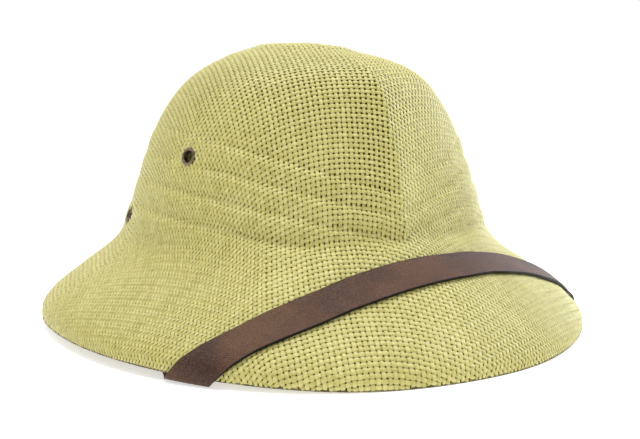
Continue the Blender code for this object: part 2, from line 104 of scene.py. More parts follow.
pleats = {
    "depth": 2.2,
    "frontZ": 76.0,         # top pleat at the front centre
    "rise": 27.0,           # and how much higher at the sides
    "drop": 11.5,           # from one pleat to the next
    "dropRise": 2.3,        # and how much more at the sides
    "backDip": 0.3,         # share of the rise that is lost at the back
    "skew": 0.6,            # how much steeper one side of each pleat is
    # the next three are counted in pleats, from the top one down
    "offset": 0.12,
    "start": -0.45,
    "fade": 0.4,
    "foldFade": 5.0,
    "middle": -22.0,        # azimuth where they are deepest
    "fadeShare": 0.8,       # share by which they are shallower behind
    "fadeStart": 45.0,      # degrees from the deepest
    "fadeReach": 50.0,
    "creaseShare": 0.5,     # and beside the crease
    "creaseAzimuth": 8.0,
    "creaseHalfWidth": 14.0,
    "flatRadii": (6.5, 13.0),   # round an eyelet: flat inside, full depth outside
}
# azimuth, height, half width in degrees, half height, depth
dents = (
    (-29.5, 108.0, 3.0, 15.0, 0.8),
    (-50.0, 126.0, 4.0, 10.0, 0.7),
    (24.0, 112.0, 7.0, 14.0, 0.6),
    (140.0, 104.0, 8.0, 18.0, 0.7),
    (57.0, 15.0, 10.0, 7.0, 3.4),
    (-50.0, 56.0, 40.0, 4.0, 1.1),
)
# azimuth and height, the same on both sides
eyeletPlaces = {"eyelet_vent": (71.0, 93.4), "eyelet_strap": (105.0, 57.5)}


# 3x^2 - 2x^3 from 0 to 1, level outside
def smoothStep(x):
    x = np.clip(x, 0.0, 1.0)
    return x * x * (3.0 - 2.0 * x)


# the same angle between -pi and pi
def wrapAngle(theta):
    return (theta + math.pi) % (2 * math.pi) - math.pi


# cubic through the points (x, y) whose slopes are the weighted harmonic means of the
# chords on both sides, so that it never overshoots
def monotoneCurve(x, y, at):
    step = np.diff(x)
    rise = np.diff(y) / step
    sameWay = rise[:-1] * rise[1:] > 0
    weightLeft = 2 * step[1:] + step[:-1]
    weightRight = step[1:] + 2 * step[:-1]
    safeLeft = np.where(sameWay, rise[:-1], 1.0)
    safeRight = np.where(sameWay, rise[1:], 1.0)
    inner = (weightLeft + weightRight) / (weightLeft / safeLeft + weightRight / safeRight)
    slope = np.concatenate(([rise[0]], np.where(sameWay, inner, 0.0), [rise[-1]]))
    k = np.clip(np.searchsorted(x, at, side="right") - 1, 0, len(step) - 1)
    u = (at - x[k]) / step[k]
    start = (1 + 2 * u) * (1 - u) ** 2 * y[k] + u * (1 - u) ** 2 * step[k] * slope[k]
    end = u * u * (3 - 2 * u) * y[k + 1] + u * u * (u - 1) * step[k] * slope[k + 1]
    return start + end


# one column of the table, apex to hem
def ovalColumn(name):
    return ovals[:, ovalNames.index(name)]


# place of each oval along the profile: summed chords of the mean of front and side
profileRadius = (ovalColumn("front") + ovalColumn("side")) / 2
profileHeight = (ovalColumn("frontZ") + ovalColumn("sideZ")) / 2
profileChords = np.hypot(np.diff(profileRadius), np.diff(profileHeight))
ovalPlaces = np.concatenate(([0.0], np.cumsum(profileChords))) / profileChords.sum()


# overlapping pleats: depth/2 * cos(phase + skew*cos(phase) - skew), where the phase runs
# once round per pleat, counted down from the top one; faded out above, at the fold and
# round the eyelets, and in part behind and beside the crease
def pleatOffset(theta, height, radius):
    back = 1.0 - pleats["backDip"] * np.cos(theta) ** 2
    rise = np.where(np.cos(theta) > 0, np.abs(np.sin(theta)), back)
    top = pleats["frontZ"] + pleats["rise"] * rise
    count = (top - height) / (pleats["drop"] + pleats["dropRise"] * rise)
    phase = 2 * math.pi * (count - pleats["offset"])
    wave = np.cos(phase + pleats["skew"] * np.cos(phase) - pleats["skew"])
    window = smoothStep((count - pleats["start"]) / pleats["fade"])
    foldZ = ovalColumn("sideZ")[form["fold"]]
    window = window * smoothStep((height - foldZ) / pleats["foldFade"])
    inner, outer = pleats["flatRadii"]
    for azimuth, eyeletZ in eyeletPlaces.values():
        side = (np.abs(wrapAngle(theta)) - math.radians(azimuth)) * radius
        distance = np.hypot(side, height - eyeletZ)
        window = window * smoothStep((distance - inner) / (outer - inner))
    fromDeepest = np.degrees(np.abs(wrapAngle(theta - math.radians(pleats["middle"]))))
    behind = smoothStep((fromDeepest - pleats["fadeStart"]) / pleats["fadeReach"])
    window = window * (1.0 - pleats["fadeShare"] * behind)
    fromCrease = np.degrees(wrapAngle(theta - math.radians(pleats["creaseAzimuth"])))
    beside = np.exp(-(fromCrease / pleats["creaseHalfWidth"]) ** 2)
    window = window * (1.0 - pleats["creaseShare"] * beside)
    return pleats["depth"] / 2 * wave * window


# Gaussian bowl, 1 in its middle: azimuth and half width in degrees, along in half heights
def bowl(theta, azimuth, halfWidth, along):
    across = wrapAngle(theta - math.radians(azimuth)) / math.radians(halfWidth)
    return np.exp(-across ** 2 - along ** 2)


# sum of the dents, each a bowl in azimuth and height
def dentOffset(theta, height):
    total = np.zeros_like(height)
    for azimuth, middle, halfWidth, halfHeight, depth in dents:
        total = total - depth * bowl(theta, azimuth, halfWidth, (height - middle) / halfHeight)
    return total


# how far the brim swells out: a Gaussian in azimuth, times one in the share of the way
# down the brim, which is narrow above its middle and wide below and fades out at the hem
def brimSwell(theta, t):
    share = (t - ovalPlaces[form["fold"]]) / (1.0 - ovalPlaces[form["fold"]])
    turn = wrapAngle(theta - math.radians(form["swellTurn"]))
    below = share - form["swellPlace"] - form["swellDrift"] * turn ** 2
    along = below / np.where(below < 0, *form["swellReach"])
    fade = smoothStep(share / form["hemFade"]) * smoothStep((1.0 - share) / form["hemFade"])
    return form["swell"] * bowl(theta, form["swellAzimuth"], form["swellHalfWidth"], along) * fade


# outer surface in mm at azimuth theta (0 = front, towards +X) and place t (0 = apex,
# 1 = hem). The radius is that of a superellipse with the oval's half lengths, plus the
# crease, pleats, dents and swell. The height goes from the oval's end height to its side
# height, plus the cap's lobes, less its sag, plus the swell. Above the fold it all leans.
def shellPoint(theta, t):
    theta, t = np.broadcast_arrays(np.asarray(theta, float), np.asarray(t, float))
    value = {name: monotoneCurve(ovalPlaces, ovalColumn(name), t) for name in ovalNames}
    cosine, sine = np.cos(theta), np.sin(theta)
    ahead = cosine > 0
    length = np.maximum(np.where(ahead, value["front"], value["back"]), 1e-6)
    width = np.maximum(value["side"], 1e-6)
    power = form["ovalPower"]
    inverse = (np.abs(cosine) / length) ** power + (np.abs(sine) / width) ** power
    radius = inverse ** (-1 / power)
    creaseWidth = math.radians(form["creaseWidth"])
    fromCrease = np.abs(wrapAngle(theta - math.radians(form["creaseAzimuth"])))
    radius = radius + value["crease"] * np.exp(-fromCrease / creaseWidth)
    endZ = np.where(ahead, value["frontZ"], value["backZ"])
    endWeight = 1.0 - smoothStep((np.abs(sine) - form["flatArc"]) / (1.0 - form["flatArc"]))
    height = value["sideZ"] + (endZ - value["sideZ"]) * endWeight
    radius = radius + pleatOffset(theta, height, radius) + dentOffset(theta, height)
    shoulder = ovalPlaces[form["capShoulder"]]
    reach = (ovalPlaces[form["capFoot"]] - shoulder) * form["lobeReach"]
    lobes = np.cos(form["lobes"] * theta) * np.exp(-((t - shoulder) / reach) ** 2)
    along = (t - form["sagPlace"]) / form["sagReach"]
    sag = bowl(theta, form["sagAzimuth"], form["sagHalfWidth"], along)
    sag = sag * smoothStep(t / form["sagStart"])
    swell = brimSwell(theta, t)
    radius = radius + swell * form["swellNormal"][0]
    height = height + form["lobeHeight"] * lobes - form["sag"] * sag
    height = height + swell * form["swellNormal"][1]
    lean = form["lean"] * smoothStep((ovalPlaces[form["fold"]] - t) / form["leanReach"])
    return np.stack([radius * sine + lean, form["axisY"] - radius * cosine, height], axis=-1)


# vectors over their lengths
def unit(vector):
    return vector / np.maximum(np.linalg.norm(vector, axis=-1, keepdims=True), 1e-12)


# point, outward normal and downward tangent, from differences in azimuth and place
def shellFrame(theta, t):
    step = 1e-3
    tLow, tHigh = np.clip(t - step, 0, 1), np.clip(t + step, 0, 1)
    down = unit(shellPoint(theta, tHigh) - shellPoint(theta, tLow))
    around = unit(shellPoint(theta + step, t) - shellPoint(theta - step, t))
    return shellPoint(theta, t), unit(np.cross(down, around)), down


# the same surface over a flat disc: a disc point is place * (sin, -cos) of the azimuth.
# Past the hem it runs straight on, outward and down, for cloth that is trimmed off there.
def discPoint(disc):
    theta = np.arctan2(disc[..., 0], -disc[..., 1])
    t = np.hypot(disc[..., 0], disc[..., 1])
    beyond = np.maximum(t - 1.0, 0.0)[..., None] * form["runOn"]
    outward, upward = form["runOnSlope"]
    away = np.stack([outward * np.sin(theta), -outward * np.cos(theta),
                     np.full_like(t, upward)], -1)
    return shellPoint(theta, np.minimum(t, 1.0)) + beyond * away


# point and outward normal over the disc, from differences along its two axes
def discFrame(disc):
    step = 2e-3
    right = discPoint(disc + [step, 0]) - discPoint(disc - [step, 0])
    back = discPoint(disc + [0, step]) - discPoint(disc - [0, step])
    return discPoint(disc), unit(np.cross(right, back))


# object in the scene, at the origin, from a mesh, a light or a camera
def newObject(name, data):
    thing = bpy.data.objects.new(name, data)
    bpy.context.scene.collection.objects.link(thing)
    return thing


# every piece belongs to the one body, and stands in for a node of the model, which is hidden
def placePiece(piece, node):
    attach(piece, "root")
    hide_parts(node)


# mesh from arrays of points in mm and of quads, whatever their outer shapes
def quadMesh(name, points, quads):
    points, quads = points.reshape(-1, 3), quads.reshape(-1, 4)
    mesh = bpy.data.meshes.new(name)
    mesh.vertices.add(len(points))
    mesh.vertices.foreach_set("co", (points * mm).astype(np.float32).ravel())
    mesh.loops.add(quads.size)
    mesh.loops.foreach_set("vertex_index", quads.astype(np.int32).ravel())
    mesh.polygons.add(len(quads))
    mesh.polygons.foreach_set("loop_start", np.arange(0, quads.size, 4, dtype=np.int32))
    mesh.update(calc_edges=True)
    mesh.validate()
    mesh.shade_smooth()
    return mesh


# vertex numbers[row, column] of a grid whose last row is its first again, and with ring
# also its last column its first
def closedGrid(rows, columns, ring):
    index = np.arange(rows * columns).reshape(rows, columns)
    index = np.concatenate((index, index[:1]))
    return np.concatenate((index, index[:, :1]), axis=1) if ring else index


# quads[.., row, column] over vertex numbers[.., row, column], looking along (down the rows)
# x (along the columns), or turned the other way
def gridQuads(index, turned=False):
    corners = (index[..., :-1, :-1], index[..., 1:, :-1],
               index[..., 1:, 1:], index[..., :-1, 1:])
    return np.stack(corners[:1] + corners[:0:-1] if turned else corners, axis=-1)


# UV map from one place per vertex
def setUv(mesh, vertexUv):
    layer = mesh.uv_layers.new(name="uv")
    corner = np.empty(len(mesh.loops), dtype=np.int32)
    mesh.loops.foreach_get("vertex_index", corner)
    layer.data.foreach_set("uv", vertexUv[corner].astype(np.float32).ravel())


# one number per vertex, which a material reads by its name
def setValue(mesh, name, values):
    attribute = mesh.attributes.new(name, "FLOAT", "POINT")
    attribute.data.foreach_set("value", values.astype(np.float32))


# sRGB hex to linear RGBA: c/12.92 up to 0.04045, then ((c + 0.055)/1.055)^2.4
def hexColour(code):
    channels = [int(code[i:i + 2], 16) / 255 for i in (1, 3, 5)]
    return [c / 12.92 if c <= 0.04045 else ((c + 0.055) / 1.055) ** 2.4 for c in channels] + [1.0]


# one node with its settings and its links: an input is a value or another node's socket
def addNode(tree, kind, settings=None, inputs=None):
    node = tree.nodes.new(kind)
    for name, value in (settings or {}).items():
        setattr(node, name, value)
    for name, value in (inputs or {}).items():
        socket = node.inputs[name]
        if isinstance(value, bpy.types.NodeSocket):
            tree.links.new(value, socket)
        else:
            socket.default_value = value
    return node


# material, its empty node tree and the sockets of its texture coordinates
def newMaterial(name):
    material = bpy.data.materials.new(name)
    material.use_nodes = True
    tree = material.node_tree
    tree.nodes.clear()
    return material, tree, addNode(tree, "ShaderNodeTexCoord").outputs


# a value that the mesh has at each vertex
def addAttribute(tree, name):
    return addNode(tree, "ShaderNodeAttribute", {"attribute_name": name}).outputs["Fac"]


# noise, its patches 1/scale of the place's unit across
def addNoise(tree, place, scale, detail, roughness=0.5):
    return addNode(tree, "ShaderNodeTexNoise", {}, {
        "Vector": place, "Scale": scale, "Detail": detail, "Roughness": roughness}).outputs["Fac"]


# arithmetic on sockets and numbers
def addMath(tree, operation, *values):
    node = addNode(tree, "ShaderNodeMath", {"operation": operation}, dict(enumerate(values)))
    return node.outputs[0]


# a value taken from the range low to high to another, by a line or a smooth step
def addRange(tree, value, low, high, toLow, toHigh, kind="LINEAR"):
    return addNode(tree, "ShaderNodeMapRange", {"interpolation_type": kind}, {
        "Value": value, 1: low, 2: high, 3: toLow, 4: toHigh}).outputs[0]


# colour ramp over (place, sRGB hex) stops
def addRamp(tree, value, stops):
    ramp = addNode(tree, "ShaderNodeValToRGB", {}, {"Fac": value})
    elements = ramp.color_ramp.elements
    elements.remove(elements[-1])
    elements[0].position = stops[0][0]
    for place, code in stops[1:]:
        elements.new(place)
    for element, (place, code) in zip(elements, stops):
        element.color = hexColour(code)
    return ramp.outputs["Color"]


# one colour over another by a share
def mixColours(tree, share, under, over):
    return addNode(tree, "ShaderNodeMix", {"data_type": "RGBA"}, {
        0: share, 6: under, 7: over}).outputs[2]


# normal that shows a height as relief, distance in m
def addBump(tree, height, strength, distance):
    return addNode(tree, "ShaderNodeBump", {}, {
        "Height": height, "Strength": strength, "Distance": distance}).outputs["Normal"]


# the principled shader with these inputs becomes the material's surface
def addSurface(tree, inputs):
    shader = addNode(tree, "ShaderNodeBsdfPrincipled", {}, inputs)
    addNode(tree, "ShaderNodeOutputMaterial", {}, {"Surface": shader.outputs[0]})


weave = {
    "pitch": 2.55,            # mm between threads, as woven
    # the cloth was drawn out over the brim as it was moulded: place, share of the pitch
    "drawn": ((0.0, 0.95), (0.55, 0.95), (0.8, 1.06), (1.2, 1.06)),
    "azimuth": -17.0,         # where the warp runs straight down, degrees
    "reach": 104,             # threads from the middle of the cloth to its edge
    "corner": 1.4,            # power that rounds the corners of the cloth off
    "cornerSlack": 0.0025,
    "lock": 0.8,              # shortest diagonal of a cell, in pitches
    "lockPull": 0.6,
    "pull": 1.2,              # each pass goes a little past the mean of the pulls
    "bend": (0.1, 0.004),     # thread stiffness, at the start and at the end
    "passes": ((8, 1500), (4, 500), (2, 200), (1, 60)),   # every how many threads, how often
    "discHalf": 1.6,
    "discCells": 800,
    "samples": 3,             # along a thread, per cell
    "section": (-1.0, -0.45, 0.45, 1.0),   # points across a thread, in half widths
    # thread's width: place, share of the drawn pitch
    "width": ((0.0, 0.68), (0.55, 0.68), (0.8, 0.74), (1.2, 0.74)),
    "crowding": 0.73,         # and at most this much of the room between its neighbours
    # beside the crease the cloth was stretched open: share, azimuth, height, half widths
    "open": (0.15, -4.0, 98.0, 8.0, 24.0),
    "rise": 0.26,             # mm, over and under
    "crown": 0.30,            # mm, how much a thread rounds down to its edges
    "base": -0.15,            # mm, middle of the cloth above the form
    "jitter": (0.10, 2),      # mm sideways, and every how many crossings it turns
    "swell": (0.08, 3),       # share by which the width varies, likewise
    "barrel": (4.3, 12.0),    # mm, radius and depth cut free round an eyelet
    "trim": 0.9975,           # place on the form where the threads end, above the binding
    "furthest": 1.06,         # place past which no thread is worked out
    "apart": 37.0,            # from one thread to the next on the UV map
    "parts": 3,               # pieces that the threads of each direction are shared into
    "seed": 7,
}


# table over the disc of the surface's point and its two slopes
def discTable():
    half, cells = weave["discHalf"], weave["discCells"]
    axis = np.linspace(-half, half, cells + 1)
    points = discPoint(np.stack(np.meshgrid(axis, axis, indexing="ij"), axis=-1))
    slopes = np.gradient(points, axis, axis=0), np.gradient(points, axis, axis=1)
    return np.concatenate((points, *slopes), axis=-1)


# bilinear reading of a table at real-valued cell places
def readTable(table, place):
    low = np.clip(place.astype(int), 0, np.array(table.shape[:2]) - 2)
    share = place - low
    i, j = low[..., 0], low[..., 1]
    a, b = share[..., :1], share[..., 1:]
    near = table[i, j] * (1 - b) + table[i, j + 1] * b
    far = table[i + 1, j] * (1 - b) + table[i + 1, j + 1] * b
    return near * (1 - a) + far * a


# cell places of disc points in the table
def discPlace(disc):
    half, cells = weave["discHalf"], weave["discCells"]
    return (np.clip(disc, -half, half) + half) / (2 * half) * cells


# a value of the weave that changes with the place, by straight lines
def byPlace(name, t):
    return np.interp(t, *np.transpose(weave[name]))


# slices that pair each node of a square net with the one (du, dv) further on
def netPair(size, du, dv):
    here = (slice(0, size - du), slice(max(0, -dv), size - max(0, dv)))
    there = (slice(du, size), slice(max(0, -dv) + dv, size - max(0, dv) + dv))
    return here, there


# Threads that don't stretch, laid over the form: each thread length between crossings is
# pulled to the pitch, each cell's diagonals are kept over the lock, and each thread is
# drawn straight a little. The moves are made on the surface through its slopes.
def relaxNet(table, disc, used, length, passes, bends):
    size = disc.shape[0]
    for step in range(passes):
        values = readTable(table, discPlace(disc))
        point, slopeP, slopeQ = values[..., :3], values[..., 3:6], values[..., 6:]
        move = np.zeros_like(point)
        count = np.zeros(used.shape)
        drawn = byPlace("drawn", np.hypot(disc[..., 0], disc[..., 1]))
        lock = weave["lock"]
        for du, dv, rest in ((1, 0, 1.0), (0, 1, 1.0), (1, 1, lock), (1, -1, lock)):
            here, there = netPair(size, du, dv)
            gap = point[there] - point[here]
            span = np.linalg.norm(gap, axis=-1) + 1e-9
            excess = span - rest * length * (drawn[here] + drawn[there]) / 2
            pulled = used[here] & used[there]
            if du and dv:
                excess = np.minimum(excess, 0) * weave["lockPull"]
                pulled = pulled & (excess < 0)
            pull = gap * (0.5 * excess * pulled / span)[..., None]
            move[here] += pull
            move[there] -= pull
            count[here] += pulled
            count[there] += pulled
        move = move / np.maximum(count, 1)[..., None] * weave["pull"]
        bend = (bends[0] - bends[1]) * (1 - step / passes) ** 2 + bends[1]
        for du, dv in ((1, 0), (0, 1)):
            middle = (slice(du, size - du), slice(dv, size - dv))
            before = (slice(0, size - 2 * du), slice(0, size - 2 * dv))
            after = (slice(2 * du, size), slice(2 * dv, size))
            free = (used[before] & used[after] & used[middle])[..., None]
            move[middle] += ((point[before] + point[after]) / 2 - point[middle]) * free * bend
        pp = (slopeP * slopeP).sum(-1) + 1e-3
        qq = (slopeQ * slopeQ).sum(-1) + 1e-3
        pq = (slopeP * slopeQ).sum(-1)
        alongP, alongQ = (slopeP * move).sum(-1), (slopeQ * move).sum(-1)
        det = np.maximum(pp * qq - pq * pq, 1e-3 * pp * qq)
        change = np.stack([qq * alongP - pq * alongQ, pp * alongQ - pq * alongP], axis=-1)
        disc = disc + change / det[..., None] * used[..., None]
    return disc


# net of crossings on the disc, solved coarse first: every 8th thread, then 4th, 2nd, all.
# The cloth is cut to |across|^corner + |along|^corner = reach^corner.
def solveNet():
    table = discTable()
    pitch, reach = weave["pitch"], weave["reach"]
    disc, old = None, None
    bends = weave["bend"]
    for skip, passes in weave["passes"]:
        half = math.ceil(reach / skip)
        counts = np.arange(-half, half + 1) * skip
        across, along = np.meshgrid(counts, counts, indexing="ij")
        spread = (np.abs([across, along]) / reach) ** weave["corner"]
        used = spread.sum(axis=0) <= 1.0 + weave["cornerSlack"] * skip
        if disc is None:
            azimuth = np.arctan2(across, along) + math.radians(weave["azimuth"])
            place = np.hypot(across, along) * pitch / profileChords.sum()
            disc = np.stack([place * np.sin(azimuth), -place * np.cos(azimuth)], axis=-1)
        else:
            step = (counts - old[0]) / (old[1] - old[0])
            disc = readTable(disc, np.stack(np.meshgrid(step, step, indexing="ij"), axis=-1))
            bends = (weave["bend"][1], weave["bend"][1])
        disc = relaxNet(table, disc, used, pitch * skip, passes, bends)
        old = counts
    return disc, used


# smooth places between crossings: Catmull-Rom spline along the net's second axis
def refineLines(values, samples):
    padded = np.concatenate((2 * values[:, :1] - values[:, 1:2], values,
                             2 * values[:, -1:] - values[:, -2:-1]), axis=1)
    p0, p1, p2, p3 = padded[:, :-3], padded[:, 1:-2], padded[:, 2:-1], padded[:, 3:]
    s = (np.arange(samples) / samples)[None, None, :, None]
    p0, p1, p2, p3 = (p[:, :, None] for p in (p0, p1, p2, p3))
    fine = 0.5 * (2 * p1 + (p2 - p0) * s + (2 * p0 - 5 * p1 + 4 * p2 - p3) * s ** 2
                  + (3 * p1 - p0 - 3 * p2 + p3) * s ** 3)
    fine = fine.reshape(values.shape[0], -1, values.shape[-1])
    return np.concatenate((fine, values[:, -1:]), axis=1)


# slow random waves along each thread, from -1 to 1: random values every few samples,
# joined by straight lines
def threadNoise(random, lines, length, spacing):
    knots = random.uniform(-1, 1, (lines, length // spacing + 2))
    place = np.arange(length) / spacing
    low = place.astype(int)
    share = place - low
    return knots[:, low] * (1 - share) + knots[:, low + 1] * share


# Ribbons along one direction of the net. A ribbon's middle follows its thread; it rises
# and falls as rise*sin(pi/2*cos(pi*(line + place))), one crossing over and one under; its
# section is an arch, crown*x^2 below the middle; its width is the lesser of the thread's
# own, which is less beside the crease, and the room that its neighbours leave.
def threadRibbons(disc, used, sign, random):
    samples = weave["samples"]
    lines = disc.shape[0]
    fine = refineLines(disc, samples)
    length = fine.shape[1]
    cell = np.arange(length) // samples
    nextCell = np.minimum(-(-np.arange(length) // samples), lines - 1)
    t = np.hypot(fine[..., 0], fine[..., 1])
    wanted = used[:, cell] & used[:, nextCell] & (t < weave["furthest"])
    point = np.zeros(fine.shape[:2] + (3,))
    normal = np.zeros_like(point)
    point[wanted], normal[wanted] = discFrame(fine[wanted])
    tangent = unit(np.gradient(point, axis=1))
    side = unit(np.cross(tangent, normal))

    gap = np.zeros_like(point)
    gap[1:-1] = (point[2:] - point[:-2]) / 2
    room = np.abs((gap * side).sum(-1))
    size, every = weave["jitter"]
    jitter = threadNoise(random, lines, length, every * samples) * size
    size, every = weave["swell"]
    swell = 1 + size * threadNoise(random, lines, length, every * samples)
    openShare, openAzimuth, openZ, openDegrees, openReach = weave["open"]
    across = (np.degrees(np.arctan2(fine[..., 0], -fine[..., 1])) - openAzimuth) / openDegrees
    along = (point[..., 2] - openZ) / openReach
    opened = 1 - openShare * np.exp(-across ** 2 - along ** 2)
    width = byPlace("width", t) * byPlace("drawn", t) * opened * weave["pitch"]
    half = np.minimum(width, weave["crowding"] * room) / 2 * swell
    place = np.arange(length) / samples
    line = np.arange(lines)[:, None]
    wave = np.sin(math.pi / 2 * np.cos(math.pi * (line + place[None, :]))) * sign
    height = weave["base"] + weave["rise"] * wave
    point = point + side * jitter[..., None]
    section = np.array(weave["section"])
    lateral = half[..., None] * section
    drop = height[..., None] - weave["crown"] * section ** 2
    ribbon = point[..., None, :] + side[..., None, :] * lateral[..., None] \
        + normal[..., None, :] * drop[..., None]

    # a thread that leaves or enters the form is cut where its place reaches the trim
    inside = wanted & (t <= weave["trim"])
    keep = (inside[:, :-1] | inside[:, 1:]) & wanted[:, :-1] & wanted[:, 1:]
    onward = np.diff(t, axis=1)
    share = (weave["trim"] - t[:, :-1]) / np.where(np.abs(onward) < 1e-9, 1.0, onward)
    leaving = np.nonzero(keep & inside[:, :-1] & ~inside[:, 1:])
    entering = np.nonzero(keep & ~inside[:, :-1] & inside[:, 1:])
    for (a, b), near, far in ((leaving, 0, 1), (entering, 1, 0)):
        cut = share[a, b][:, None, None]
        cut = cut if far else 1 - cut
        start, stop = ribbon[a, b + near], ribbon[a, b + far]
        ribbon[a, b + far] = start + (stop - start) * cut

    radius, reach = weave["barrel"]
    for centre, axis in eyeletAxes:
        offset = (point[:, :-1] + point[:, 1:]) / 2 - centre
        depth = (offset * axis).sum(-1)
        radial = np.linalg.norm(offset - depth[..., None] * axis, axis=-1)
        keep = keep & ((radial > radius) | (np.abs(depth) > reach))

    points = len(section)
    index = np.arange(lines * length * points).reshape(lines, length, points)
    quads = gridQuads(index, True)
    tone = np.repeat(random.uniform(0, 1, lines), length * points)
    # painted shade: 1 where the thread dips under its neighbour, 0 where it lies over it
    dipShade = np.repeat((0.5 - 0.5 * wave).ravel(), points)
    run = np.broadcast_to((place * weave["pitch"])[None, :, None], index.shape)
    apart = np.broadcast_to(lateral + weave["apart"] * line[:, :, None], index.shape)
    uv = np.stack([run, apart], axis=-1)
    return ribbon.reshape(-1, 3), quads, keep, tone, dipShade, uv.reshape(-1, 2)


# axis point and direction of each eyelet, on the outer surface
def eyeletFrames():
    frames = {}
    for name, (azimuth, height) in eyeletPlaces.items():
        for side, sideName in ((1, "left"), (-1, "right")):
            theta = np.array([side * math.radians(azimuth)])
            t = np.linspace(ovalPlaces[form["capFoot"]], ovalPlaces[form["fold"]], form["steps"])
            heights = shellPoint(np.full_like(t, theta[0]), t)[:, 2]
            place = np.array([np.interp(-height, -heights, t)])
            frames[name + "_" + sideName] = [v[0] for v in shellFrame(theta, place)]
    return frames


eyelets = eyeletFrames()
eyeletAxes = [(point, normal) for point, normal, down in eyelets.values()]
netDisc, netUsed = solveNet()
print("weave solved")


# Paper straw: flat threads of twisted paper, satin, a little different in tone from
# thread to thread and from float to float, with fibres along them and small bright
# glints. The ramp reads the sum of the sources times their shares; it darkens the dips,
# where a thread goes under its neighbour, as painted shade.
def paperStraw():
    material, tree, coords = newMaterial("woven_paper_straw")
    clouds = addNoise(tree, coords["Object"], 22.0, 3.0)   # 45 mm across
    # the UV map is in mm: a patch of tone is 2 mm long, about one float
    floatPlace = addNode(tree, "ShaderNodeMapping", {}, {
        "Vector": coords["UV"], "Scale": (0.5, 0.2, 1.0)})
    floats = addNoise(tree, floatPlace.outputs["Vector"], 1.0, 2.0, 0.6)
    # paper fibres are under 0.1 mm wide, drawn at 0.2 mm so that they show
    fibrePlace = addNode(tree, "ShaderNodeMapping", {}, {
        "Vector": coords["UV"], "Scale": (0.5, 3.0, 1.0)})
    fibres = addNoise(tree, fibrePlace.outputs["Vector"], 1.5, 2.0)
    total = 0.0
    # the last source is painted shade: a thread is darker where it dips under its neighbour
    for source, share in ((addAttribute(tree, "tone"), 0.10), (clouds, 0.12), (floats, 0.40),
                          (fibres, 0.25), (addAttribute(tree, "dipShade"), -0.14)):
        total = addMath(tree, "MULTIPLY_ADD", source, share, total)
    colour = addRamp(tree, total, (
        (0.18, "#8c8138"), (0.34, "#b9b05f"), (0.48, "#cbc379"), (0.58, "#d8d28f")))
    addSurface(tree, {
        "Base Color": colour, "Roughness": 0.43, "Specular IOR Level": 0.6,
        "Sheen Weight": 0.08, "Sheen Roughness": 0.4,
        "Normal": addBump(tree, fibres, 0.4, 0.0003)})
    return material


# the stiffened ground behind the threads, dark olive and matt: its darkness is painted shade, so
# that the gaps look deep
def groundPaintedShade():
    material, tree, coords = newMaterial("ground_painted_shade")
    grain = addNoise(tree, coords["Object"], 700.0, 2.0)   # 1.4 mm
    # the dark olive is painted shade for the gaps between the threads
    addSurface(tree, {
        "Base Color": addRamp(tree, grain, ((0.35, "#352d0c"), (0.65, "#5e521c"))),
        "Roughness": 0.9, "Specular IOR Level": 0.1})
    return material


# the same straw from behind, drawn as a pattern on the net's own thread numbers: rounded
# threads |cos(pi*u)| and |cos(pi*v)|, one over the other by turns in squares round the
# crossings. The tone is that height + 0.4 * clouds; its dark low end, between the threads
# and down their sides, is painted shade.
def wovenInside():
    material, tree, coords = newMaterial("woven_paper_straw_inside")
    split = addNode(tree, "ShaderNodeSeparateXYZ", {}, {0: coords["UV"]})
    rounds = []
    for axis in range(2):
        turn = addMath(tree, "MULTIPLY", split.outputs[axis], math.pi)
        rounds.append(addMath(tree, "ABSOLUTE", addMath(tree, "COSINE", turn)))
    shifted = addNode(tree, "ShaderNodeVectorMath", {"operation": "ADD"}, {
        0: coords["UV"], 1: (0.5, 0.5, 0.5)})
    turns = addNode(tree, "ShaderNodeTexChecker", {}, {
        "Vector": shifted.outputs[0], "Scale": 1.0})
    height = addNode(tree, "ShaderNodeMix", {}, {
        0: turns.outputs["Fac"], 2: rounds[0], 3: rounds[1]}).outputs[0]
    clouds = addNoise(tree, coords["UV"], 0.6, 3.0)   # nearly two threads
    blend = addMath(tree, "MULTIPLY_ADD", clouds, 0.4, height)
    # painted shade: the low parts between and beside the threads are darkest
    colour = addRamp(tree, blend, ((0.25, "#4a4118"), (0.55, "#a89c55"), (1.0, "#cdc27a")))
    addSurface(tree, {
        "Base Color": colour, "Roughness": 0.6, "Specular IOR Level": 0.3,
        "Normal": addBump(tree, height, 0.8, 0.0005)})
    return material


strawMaterial = paperStraw()


# ribbons of one direction, shared out into pieces by thread so that each stays light
def addThreads(name, disc, used, sign, random):
    ribbon, quads, keep, tone, dipShade, uv = threadRibbons(disc, used, sign, random)
    parts = weave["parts"]
    perLine = keep.sum(axis=1)
    share = np.minimum(np.cumsum(perLine) * parts // perLine.sum(), parts - 1)
    for part in range(parts):
        chosen = quads[keep & (share == part)[:, None]].reshape(-1, 4)
        picked, local = np.unique(chosen, return_inverse=True)
        mesh = quadMesh(name + str(part + 1), ribbon[picked], local)
        setUv(mesh, uv[picked])
        setValue(mesh, "tone", tone[picked])
        setValue(mesh, "dipShade", dipShade[picked])
        mesh.materials.append(strawMaterial)
        placePiece(newObject(name + str(part + 1), mesh), "shell")
        print(name + str(part + 1), "quads", len(chosen))


random = np.random.default_rng(weave["seed"])
addThreads("warp", netDisc, netUsed, 1, random)
addThreads("weft", netDisc.transpose(1, 0, 2), netUsed.T, -1, random)
print("threads laid")

cloth = {
    "outer": 1.1,             # mm below the form, clear of the threads
    "rim": 0.9,               # place past which the normal is taken along the profile
    "hole": 4.05,             # mm, radius round an eyelet's barrel
    "holeDepth": 24.0,        # mm
    "holeSides": 48,
}
binding = {
    "half": (1.05, 0.55),     # half width and half height, mm
    "foot": 0.02,             # mm above the floor
    "sides": 12,
    "columns": 360,
}


# local frame of an eyelet as a matrix: Z outward, Y up
def eyeletMatrix(point, normal, down):
    matrix = Matrix.Identity(4)
    for axis, vector in enumerate((np.cross(-down, normal), -down, normal)):
        matrix.col[axis][:3] = vector
    matrix.col[3][:3] = point * mm
    return matrix


